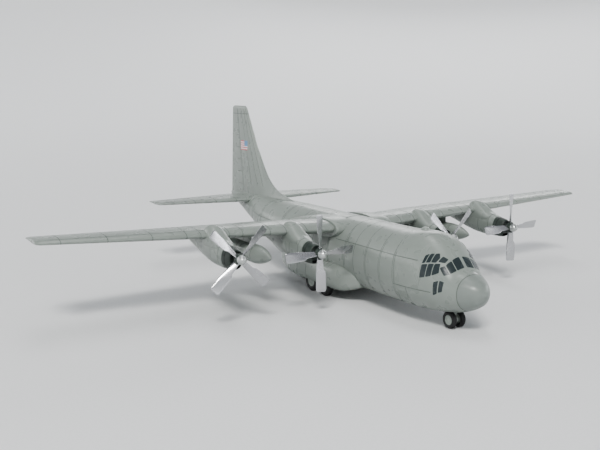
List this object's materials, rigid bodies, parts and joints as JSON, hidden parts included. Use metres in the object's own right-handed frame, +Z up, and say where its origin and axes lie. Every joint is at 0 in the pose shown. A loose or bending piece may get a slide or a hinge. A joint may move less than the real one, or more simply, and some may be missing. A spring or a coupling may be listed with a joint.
{
  "type": "model military transport plane",
  "caption": "Plastic scale model of a high-wing turboprop military transport plane on its landing gear, with spinning propellers and rolling wheels.",
  "frame": {"origin": "on the floor under the middle of the model's bounding box", "axes": "+X to the model's left wing tip, -Y out of its nose, +Z up"},
  "size_m": [0.3108, 0.2288, 0.0897],
  "materials": {
    "grey_green_plastic": "satin moulded plastic, pre-painted grey-green",
    "dark_green_plastic": "satin moulded plastic, dark grey-green",
    "silver_plastic": "silver pre-painted moulded plastic",
    "wheel_plastic": "matt black moulded plastic with light hub",
    "gear_plastic": "satin light grey moulded plastic"
  },
  "bodies": {
    "airframe": {"fuselage_left_half": "grey_green_plastic", "fuselage_right_half": "grey_green_plastic", "tail_fin": "grey_green_plastic", "stabiliser_left": "grey_green_plastic", "stabiliser_right": "grey_green_plastic", "wing_left": "grey_green_plastic", "wing_right": "grey_green_plastic", "engine_front_1": "dark_green_plastic", "engine_front_2": "dark_green_plastic", "engine_front_3": "dark_green_plastic", "engine_front_4": "dark_green_plastic", "drop_tank_left": "grey_green_plastic", "drop_tank_right": "grey_green_plastic", "nose_gear_leg": "gear_plastic", "main_gear_left": "gear_plastic", "main_gear_right": "gear_plastic"},
    "propeller_1": {"propeller_1": "silver_plastic"},
    "propeller_2": {"propeller_2": "silver_plastic"},
    "propeller_3": {"propeller_3": "silver_plastic"},
    "propeller_4": {"propeller_4": "silver_plastic"},
    "nose_wheels": {"nose_axle": "gear_plastic", "nose_wheel_left": "wheel_plastic", "nose_wheel_right": "wheel_plastic"},
    "main_wheel_front_left": {"main_wheel_front_left": "wheel_plastic"},
    "main_wheel_rear_left": {"main_wheel_rear_left": "wheel_plastic"},
    "main_wheel_front_right": {"main_wheel_front_right": "wheel_plastic"},
    "main_wheel_rear_right": {"main_wheel_rear_right": "wheel_plastic"}
  },
  "joints": [
    {"name": "propeller_1_spin", "type": "hinge", "parent": "airframe", "child": "propeller_1", "pos_m": [0.07808, -0.04958, 0.02975], "axis": [0, -1, 0], "continuous": true},
    {"name": "propeller_2_spin", "type": "hinge", "parent": "airframe", "child": "propeller_2", "pos_m": [0.03808, -0.04958, 0.028], "axis": [0, -1, 0], "continuous": true},
    {"name": "propeller_3_spin", "type": "hinge", "parent": "airframe", "child": "propeller_3", "pos_m": [-0.03808, -0.04958, 0.028], "axis": [0, -1, 0], "continuous": true},
    {"name": "propeller_4_spin", "type": "hinge", "parent": "airframe", "child": "propeller_4", "pos_m": [-0.07808, -0.04958, 0.02975], "axis": [0, -1, 0], "continuous": true},
    {"name": "nose_wheels_roll", "type": "hinge", "parent": "airframe", "child": "nose_wheels", "pos_m": [0, -0.09627, 0.00381], "axis": [1, 0, 0], "continuous": true},
    {"name": "main_wheel_front_left_roll", "type": "hinge", "parent": "airframe", "child": "main_wheel_front_left", "pos_m": [0.01677, -0.02158, 0.00546], "axis": [1, 0, 0], "continuous": true},
    {"name": "main_wheel_rear_left_roll", "type": "hinge", "parent": "airframe", "child": "main_wheel_rear_left", "pos_m": [0.01677, -0.00988, 0.00546], "axis": [1, 0, 0], "continuous": true},
    {"name": "main_wheel_front_right_roll", "type": "hinge", "parent": "airframe", "child": "main_wheel_front_right", "pos_m": [-0.01677, -0.02158, 0.00546], "axis": [1, 0, 0], "continuous": true},
    {"name": "main_wheel_rear_right_roll", "type": "hinge", "parent": "airframe", "child": "main_wheel_rear_right", "pos_m": [-0.01677, -0.00988, 0.00546], "axis": [1, 0, 0], "continuous": true}
  ]
}
